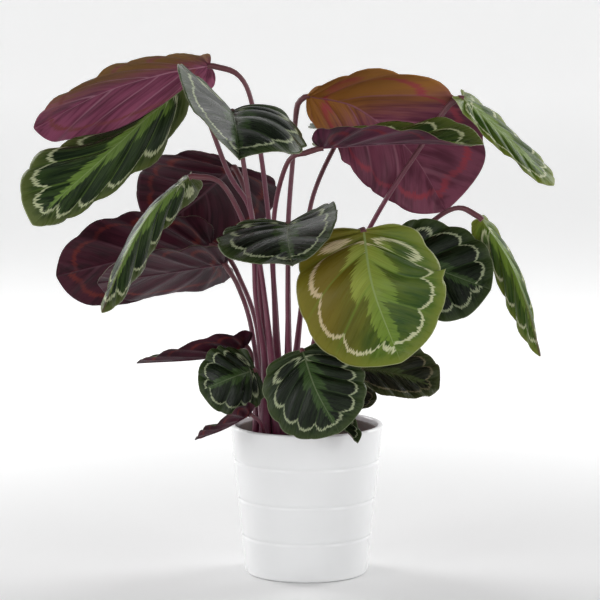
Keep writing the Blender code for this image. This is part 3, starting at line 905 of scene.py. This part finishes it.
def leaf_table() -> list[Leaf]:
    """Return the 22 leaves, roughly from the top of the plant down."""
    return [
        # Three leaves get a direction for their painted backlight glow: upwards for the two upper ones,
        # leftwards for front_large.
        Leaf("upper_left", [(-30, 15), (-35, 25, 300), (-45, 30, 420), (-60, 30, 515), (-75, 30, 545)],
             [(-105, 30, 555), (-160, 30, 545), (-225, 20, 525), (-295, -10, 490)],
             (60, 55), [(-.3, .6, .75), (-.3, .6, .65)], Tint.PINK_BELOW, fold=(-5, -10), curl=(-20, -10),
             lobe=.15, backlit_glow=(-.2, -.3, 1), wave=.0022, sweep=3.8),
        Leaf("left_drooping", [(-40, -10), (-50, -5, 300), (-60, 0, 395), (-85, 5, 440), (-115, -5, 520)],
             [(-130, -20, 535), (-170, -55, 505), (-215, -85, 465), (-260, -100, 425), (-290, -105, 395)],
             (45, 70), [(-.3, -.4, .85), (.05, -1, .15)], Tint.FRESH, fold=(-80, -45), curl=(-10, -15),
             tip_fold=(-45, -5), lobe=.02, wave=.0040, scallop=.09),
        Leaf("top_centre", [(-30, -25), (-45, -25, 305), (-60, -20, 400), (-75, -15, 495)],
             [(-80, -30, 510), (-75, -100, 500), (-70, -165, 470)],
             (85, 85), [(.1, -.3, .95), (.1, -.35, .9)], Tint.DARK, fold=(30, 40), curl=(-85, 0)),
        Leaf("upper_right", [(-20, 10), (-20, 30, 300), (-20, 40, 380), (-15, 50, 450), (-10, 50, 510)],
             [(0, 50, 520), (55, 70, 505), (115, 90, 455), (155, 80, 390)],
             (70, 95), [(0, .8, .6), (-.1, .85, .4)], Tint.BRONZE_BELOW, fold=(-85, -25), curl=(10, -5),
             tip_fold=(-30, 5), lobe=.1, backlit_glow=(-.3, -.2, 1)),
        Leaf("right_folded", [(-25, -10), (-35, -15, 305), (-35, -10, 395), (-20, -25, 455), (0, -30, 465)],
             [(15, -30, 470), (100, -30, 475), (190, -40, 475)],
             (50, 50), [(0, .1, 1), (0, -.1, 1)], Tint.PLUM_BELOW, fold=(15, 25), curl=(10, 20),
             tip_fold=(25, 0)),
        Leaf("far_right", [(-10, 25), (20, 50, 270), (75, 45, 385), (125, 40, 465), (155, 40, 510)],
             [(170, 40, 520), (220, 30, 475), (270, 15, 425)],
             (35, 25), [(.3, -.6, .8), (.4, -.6, .6)], Tint.OLIVE_BACKLIT, fold=(-15, 0), curl=(-20, 10)),
        Leaf("right_hanging", [(-5, 10), (35, 30, 260), (105, 50, 345), (135, 40, 380), (165, 20, 400)],
             [(190, 10, 390), (220, 0, 345), (240, -10, 295), (255, -10, 240)],
             (30, 30), [(.2, -.9, .5), (.3, -.95, .1)], Tint.OLIVE_BACKLIT, fold=(-45, -50), curl=(-10, -10),
             tip_fold=(-65, -70), lobe=.15, wave=.0024),
        Leaf("back_hidden", [(-20, 25), (-5, 80, 290), (5, 100, 395), (35, 120, 465)],
             [(45, 130, 480), (75, 190, 485), (110, 250, 455)],
             (65, 65), [(0, 0, 1), (.1, .8, .6)], Tint.DARK, curl=(-10, -10)),
        Leaf("centre", [(-15, -15), (-20, -30, 270), (-20, -35, 360)],
             [(-20, -40, 390), (-20, -110, 380), (-15, -170, 360)],
             (60, 75), [(0, -.25, .95), (0, -.35, .95)], Tint.DARK, fold=(20, 5), curl=(15, -20), lobe=.5),
        Leaf("front_large", [(-5, -25), (10, -40, 270), (40, -60, 350), (50, -80, 380)],
             [(60, -100, 390), (70, -130, 330), (100, -120, 250)],
             (90, 80), [(0, -1, .45), (.05, -1, .05)], Tint.OLIVE_BACKLIT, fold=(-20, -5), curl=(-10, -10), lobe=.3,
             backlit_glow=(-1, 0, .2), wave=.0020),
        Leaf("right_dark", [(0, 0), (25, 10, 250), (75, 20, 335)],
             [(95, 0, 355), (145, -10, 335), (200, -20, 315)],
             (55, 55), [(0, -1, .5), (.1, -1, .4)], Tint.DARK, fold=(0, -5), curl=(-10, -10)),
        Leaf("back_left", [(-35, 30), (-50, 50, 295), (-60, 70, 385), (-70, 70, 420)],
             [(-80, 80, 440), (-125, 140, 395), (-175, 160, 355)],
             (75, 75), [(0, .7, .7), (0, 1, .1)], Tint.MAROON_SHADED_BELOW),
        Leaf("left_dark", [(-45, 20), (-55, 70, 260), (-75, 90, 315), (-90, 95, 340)],
             [(-105, 100, 350), (-185, 120, 335), (-280, 100, 315)],
             (60, 60), [(0, .75, .6), (-.1, .9, .3)], Tint.MAROON_SHADED_BELOW),
        Leaf("left_purple", [(-45, 5), (-60, 20, 265), (-75, 40, 310)],
             [(-90, 45, 335), (-155, 45, 325), (-230, 35, 315)],
             (60, 60), [(0, .5, .85), (0, .55, .8)], Tint.MAROON_SHADED_BELOW),
        Leaf("left_narrow", [(-45, -25), (-45, -15, 230), (-55, -20, 305), (-60, -20, 365), (-90, -30, 430)],
             [(-125, -30, 440), (-165, -50, 405), (-195, -60, 355), (-220, -60, 295)],
             (45, 45), [(-.2, -.7, .6), (-.4, -.8, .3)], Tint.FRESH, fold=(-80, -40), curl=(-20, -30),
             wave=.0022),
        Leaf("low_left_narrow", [(-55, -5), (-60, 0, 240)],
             [(-65, 0, 250), (-110, -20, 240), (-185, -20, 235)],
             (32, 32), [(0, .1, 1), (0, 0, 1)], Tint.MAROON_SHADED_BELOW, fold=(50, 20), curl=(20, 0),
             tip_fold=(10, 5), thick=(1.8, 3)),
        Leaf("low_left", [(-55, -15), (-55, -20, 195)], [(-55, -40, 230), (-80, -60, 225), (-115, -60, 210)],
             (40, 40), [(.1, -1, .4), (-.1, -1, .3)], Tint.DARK, fold=(-5, -10), curl=(-10, -10),
             thick=(1.8, 3), wave=.0030, scallop=.075),
        Leaf("low_left_rim", [(-45, -40), (-50, -55, 175)],
             [(-60, -60, 185), (-90, -80, 172), (-120, -85, 162)],
             (26, 26), [(0, .3, 1), (0, .2, 1)], Tint.MAROON_SHADED_BELOW, fold=(35, 10), curl=(20, 0),
             tip_fold=(5, 5), thick=(1.8, 3)),
        Leaf("front_low", [(-10, -40), (-5, -50, 215), (-5, -75, 240)],
             [(-5, -90, 260), (10, -115, 220), (35, -120, 175)],
             (55, 55), [(-.05, -1, .4), (0, -1, .1)], Tint.DARK, fold=(-5, -5), curl=(-10, -10), lobe=.2,
             thick=(2, 3.4), wave=.0026, scallop=.065),
        Leaf("low_right", [(10, 15), (20, 20, 195)], [(50, 10, 225), (95, 0, 220), (145, -10, 205)],
             (40, 40), [(0, -.6, .8), (0, -.7, .7)], Tint.DEEP_SHADED, fold=(10, 20), curl=(10, -10),
             thick=(1.8, 3), wave=.0030, scallop=.075),
        Leaf("low_right_small", [(10, -5), (20, 5, 175)], [(30, 10, 180), (55, 20, 190), (70, 30, 200)],
             (25, 25), [(0, -.5, .8), (0, -.7, .7)], Tint.DEEP_SHADED, fold=(10, 10), curl=(10, 10),
             thick=(1.6, 2.4), pleats=6, pleat_height=.0014),
        Leaf("rim_right", [(5, -40), (10, -50, 175)], [(20, -60, 185), (35, -80, 178), (55, -95, 160)],
             (16, 16), [(0, -.3, 1), (.3, -.5, .8)], Tint.DARK, fold=(25, 35), curl=(10, 10),
             thick=(1.6, 2.4), pleats=6, pleat_height=.001),
    ]


@dataclass
class Plant:
    """All leaves and stalks."""

    leaves: list[Leaf] = field(default_factory=leaf_table)

    def build(self) -> None:
        """Build every leaf and stalk, and dress them."""
        soil_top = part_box("potting_soil")[1][2]
        pleats, stalks = pleat_recipe(), stalk_recipe()
        skins = {tint: tint.value.build() for tint in Tint}
        bark = StalkSkin().build()
        for number, leaf in enumerate(self.leaves):
            leaf.build_blade(pleats, skins, number + 1)
            leaf.build_stalk(stalks, bark, soil_top)


# ------------------------------------------------------------------------------------------ pot
def turned_mesh(name: str, profile: list[Pair], sides: int) -> bpy.types.Object:
    """Turn a profile about Z.

    Args:
        name: The piece's name.
        profile: Points (radius, height). A body's run from the axis up the outside and back to the axis.
        sides: How many faces go round.

    Returns:
        The turned body, or an open surface where the profile doesn't end on the axis twice.
    """
    verts, faces, rings = [], [], []
    for radius, height in profile:
        if radius < 1e-6:
            rings.append([len(verts)])
            verts.append((0.0, 0.0, height))
            continue
        rings.append(list(range(len(verts), len(verts) + sides)))
        for k in range(sides):
            a = 2 * math.pi * k / sides
            verts.append((radius * math.cos(a), radius * math.sin(a), height))
    for low, high in zip(rings, rings[1:]):
        for k in range(sides):
            n = (k + 1) % sides
            if len(low) == 1:
                faces.append((low[0], high[n], high[k]))
            elif len(high) == 1:
                faces.append((low[k], low[n], high[0]))
            else:
                faces.append((low[k], low[n], high[n], high[k]))
    return new_mesh_object(name, np.array(verts), faces)


def arc(centre: Pair, radius: float, start: float, end: float, steps: int) -> list[Pair]:
    """Return points (radius, height) along an arc, with angles in degrees from outwards."""
    return [(centre[0] + radius * math.cos(math.radians(a)), centre[1] + radius * math.sin(math.radians(a)))
            for a in np.linspace(start, end, steps)]


@dataclass
class GlazedPot:
    """The white cover pot: tapered, with three shallow grooves, a rounded rim and a rounded foot."""

    wall: float = 0.0055
    floor: float = 0.006
    foot_radius: float = 0.067
    grooves: tuple[float, ...] = (0.043, 0.084, 0.126)
    groove_depth: float = 0.0007
    groove_half: float = 0.0022

    def build(self) -> bpy.types.Object:
        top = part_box("outer_pot")[1]
        rim, height = top[0], top[2]

        def side(z: float) -> float:
            """Return the wall's radius at a height."""
            return self.foot_radius + (rim - self.foot_radius) * z / height

        line = [(0.0, 0.0), (0.02, 0.0), (0.045, 0.0), (self.foot_radius - 0.0036, 0.0)]
        line += arc((self.foot_radius - 0.0036, 0.0034), 0.0034, -80, 6, 8)
        z = 0.008
        marks = []
        for groove in self.grooves:
            marks += list(np.linspace(z, groove - 1.8 * self.groove_half, 6))
            marks += list(groove + self.groove_half * np.linspace(-1.5, 1.5, 15))
            z = groove + 1.8 * self.groove_half
        marks += list(np.linspace(z, height - 0.0035, 8))
        for z in marks:
            near = min(abs(z - groove) for groove in self.grooves) / self.groove_half
            line.append((side(z) - self.groove_depth * math.exp(-near**2 * 1.6), z))
        inner = rim - self.wall
        line += arc((rim - 0.0024, height - 0.0023), 0.0023, 8, 90, 7)
        line += arc((inner + 0.0022, height - 0.0022), 0.0022, 100, 176, 6)
        line += [(side(z) - self.wall, z) for z in np.linspace(height - 0.005, 0.014, 10)]
        line += arc((self.foot_radius - self.wall - 0.005, self.floor + 0.006), 0.006, -10, -90, 6)
        line += [(0.03, self.floor), (0.0, self.floor)]
        made = turned_mesh("glazed_pot", line, 160)
        made.data.materials.append(Glaze().build())
        return declare(made, "outer_pot")


@dataclass
class GrowerPot:
    """The brown plastic pot inside, with its rolled lip."""

    wall: float = 0.0011
    foot_radius: float = 0.0555

    def build(self) -> bpy.types.Object:
        low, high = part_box("grower_pot")
        top, rim = high[2], high[0] - 0.0009
        foot = low[2]

        def side(z: float) -> float:
            """Return the wall's radius at a height."""
            return self.foot_radius + (rim - self.foot_radius) * (z - foot) / (top - foot)

        line = [(0.0, foot), (self.foot_radius - 0.002, foot), (side(foot + 0.002), foot + 0.002)]
        line += [(side(z), z) for z in np.linspace(foot + 0.01, top - 0.008, 10)]
        line += [(side(top - 0.007) + 0.0002, top - 0.007), (side(top - 0.006) + 0.0008, top - 0.0064)]
        line += arc((rim, top - 0.0009), 0.0009, 0, 180, 9)
        line += [(side(z) - self.wall, z) for z in np.linspace(top - 0.004, foot + 0.004, 12)]
        line += [(self.foot_radius - self.wall - 0.002, foot + self.wall), (0.0, foot + self.wall)]
        made = turned_mesh("brown_grower_pot", line, 120)
        made.data.materials.append(GrowerPlastic().build())
        return declare(made, "grower_pot")


@dataclass
class Soil:
    """The plug of soil, its uneven top and the crumbs on it."""

    crumb_radius: float = 0.0017
    seed: int = 5

    def build(self) -> bpy.types.Object:
        low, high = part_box("potting_soil")
        reach, top = high[0], high[2]
        skin = PottingSoil().build()
        line = [(0.0, low[2]), (reach * 0.72, low[2]), (reach * 0.75, low[2] + 0.003), (reach, top - 0.004)]
        line += [(r, top - 0.0012 - 0.003 * (r / reach) ** 4) for r in np.linspace(reach * 0.985, 0.002, 26)]
        line.append((0.0, top - 0.0012))
        plug = turned_mesh("soil_plug", line, 96)
        rng = np.random.default_rng(self.seed)
        waves = [(rng.uniform(40, 210), rng.uniform(0, 6.28), rng.uniform(0, 6.28)) for _ in range(9)]
        surface = [v for v in plug.data.vertices if v.co.z > top - 0.0048]
        for v in surface:
            lift = sum(math.sin(v.co.x * k * math.cos(a) + v.co.y * k * math.sin(a) + p) for k, a, p in waves)
            v.co.z += 0.00022 * lift * min(1.0, (reach - math.hypot(v.co.x, v.co.y)) / 0.004)
        plug.data.materials.append(skin)
        bed = turned_mesh("crumb_bed", [(0.0, top - 0.0014), (reach * 0.97, top - 0.0042)][::-1], 64)
        crumbs = crumb_recipe().apply(bed, "soil_crumbs", {"Crumb radius": self.crumb_radius,
                                                           "Crumbs per square metre": 120000.0,
                                                           "Seed": self.seed, "Material": skin})
        with bpy.context.temp_override(active_object=plug, selected_editable_objects=[plug, crumbs]):
            bpy.ops.object.join()
        plug.name = plug.data.name = "soil_with_crumbs"
        return declare(plug, "potting_soil")


# --------------------------------------------------------------------------------------- studio
@dataclass
class Studio:
    """A pale sweep of floor and wall, soft lights and the camera, whose lens is in mm."""

    camera_place: tuple[float, float, float] = (-0.0071, -3.766, 0.810)
    camera_aim: tuple[float, float, float] = (-0.0071, 0.0, 0.301)
    lens: float = 209.1

    floor_reach: float = 7.0
    bowl_radius: float = 3.0
    wall_height: float = 8.0
    paper_glow: float = 0.42
    air_strength: float = 0.14

    def sweep(self) -> None:
        """Make a round floor that curves up into a wall on every side, further out than the camera."""
        line = [(0.0, 0.0), (1.0, 0.0), (3.0, 0.0), (self.floor_reach, 0.0)]
        line += [(self.floor_reach + self.bowl_radius * math.sin(a), self.bowl_radius * (1 - math.cos(a)))
                 for a in np.linspace(0.1, math.pi / 2, 16)]
        line.append((self.floor_reach + self.bowl_radius, self.wall_height))
        floor = turned_mesh("studio_sweep", line, 64)
        floor.data.flip_normals()
        paper, g, shader = new_material("studio_paper")
        place = g.add("ShaderNodeTexCoord").outputs["Object"]
        tint = g.blend(g.noise(place, 3.0), (0.80, 0.80, 0.80), (0.82, 0.82, 0.82))
        paper.node_tree.links.new(tint, shader.inputs["Base Color"])
        far = g.add("ShaderNodeVectorMath", {0: place}, operation="LENGTH").outputs["Value"]
        glow = g.ramp(far, 0.35, 1.6, 0.0, self.paper_glow)
        paper.node_tree.links.new(glow, shader.inputs["Emission Strength"])
        shader.inputs["Emission Color"].default_value = (1.0, 1.0, 1.0, 1.0)
        shader.inputs["Roughness"].default_value = 0.8
        floor.data.materials.append(paper)

    def lamp(self, name: str, place: tuple[float, float, float], aim: tuple[float, float, float],
             size: Pair, power: float, colour: Colour = (1.0, 1.0, 1.0)) -> None:
        """Add one soft rectangular light.

        Args:
            name: The light's name.
            place: Where it stands.
            aim: The point it faces.
            size: Its width and height.
            power: Its power in watts.
            colour: Its colour.
        """
        data = bpy.data.lights.new(name, "AREA")
        data.shape, data.size, data.size_y, data.energy, data.color = "RECTANGLE", *size, power, colour
        lamp = bpy.data.objects.new(name, data)
        bpy.context.scene.collection.objects.link(lamp)
        lamp.location = place
        lamp.rotation_euler = look_at(place, aim)
        lamp.visible_camera = False

    def build(self) -> None:
        """Set the floor, the lights, the world and the camera."""
        self.sweep()
        leaves, middle = (0, 0, 0.35), (0, 0, 0.3)
        self.lamp("window_left_back", (-1.5, 1.2, 1.3), leaves, (1.0, 1.4), power=26.0)
        self.lamp("window_right_back", (1.6, 1.1, 1.3), leaves, (1.0, 1.4), power=22.0)
        self.lamp("left_front", (-1.9, -1.7, 1.1), middle, (0.9, 1.3), power=14.0)
        self.lamp("right_front", (2.0, -1.5, 0.9), middle, (0.8, 1.2), power=9.0)
        world = bpy.data.worlds.new("studio_air")
        bpy.context.scene.world = world
        world.use_nodes = True
        back = world.node_tree.nodes["Background"]
        back.inputs["Color"].default_value = (0.98, 0.99, 1.0, 1.0)
        back.inputs["Strength"].default_value = self.air_strength
        data = bpy.data.cameras.new("camera")
        data.lens, data.sensor_width, data.clip_end = self.lens, 36.0, 60.0
        camera = bpy.data.objects.new("camera", data)
        bpy.context.scene.collection.objects.link(camera)
        camera.location = self.camera_place
        camera.rotation_euler = look_at(self.camera_place, self.camera_aim)
        bpy.context.scene.camera = camera
        bpy.context.scene.view_settings.view_transform = "Standard"


def look_at(place: tuple[float, float, float], aim: tuple[float, float, float]) -> tuple[float, float, float]:
    """Return the turn that makes a camera or lamp at place face aim."""
    x, y, z = (a - b for a, b in zip(aim, place))
    return math.pi / 2 + math.atan2(z, math.hypot(x, y)), 0.0, math.atan2(y, x) - math.pi / 2


def main() -> None:
    """Build the object piece by piece, then the studio."""
    logging.basicConfig(level=logging.INFO, format="%(name)s: %(message)s")
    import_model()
    GlazedPot().build()
    GrowerPot().build()
    Soil().build()
    Plant().build()
    Studio().build()


if __name__ == "__main__":
    main()
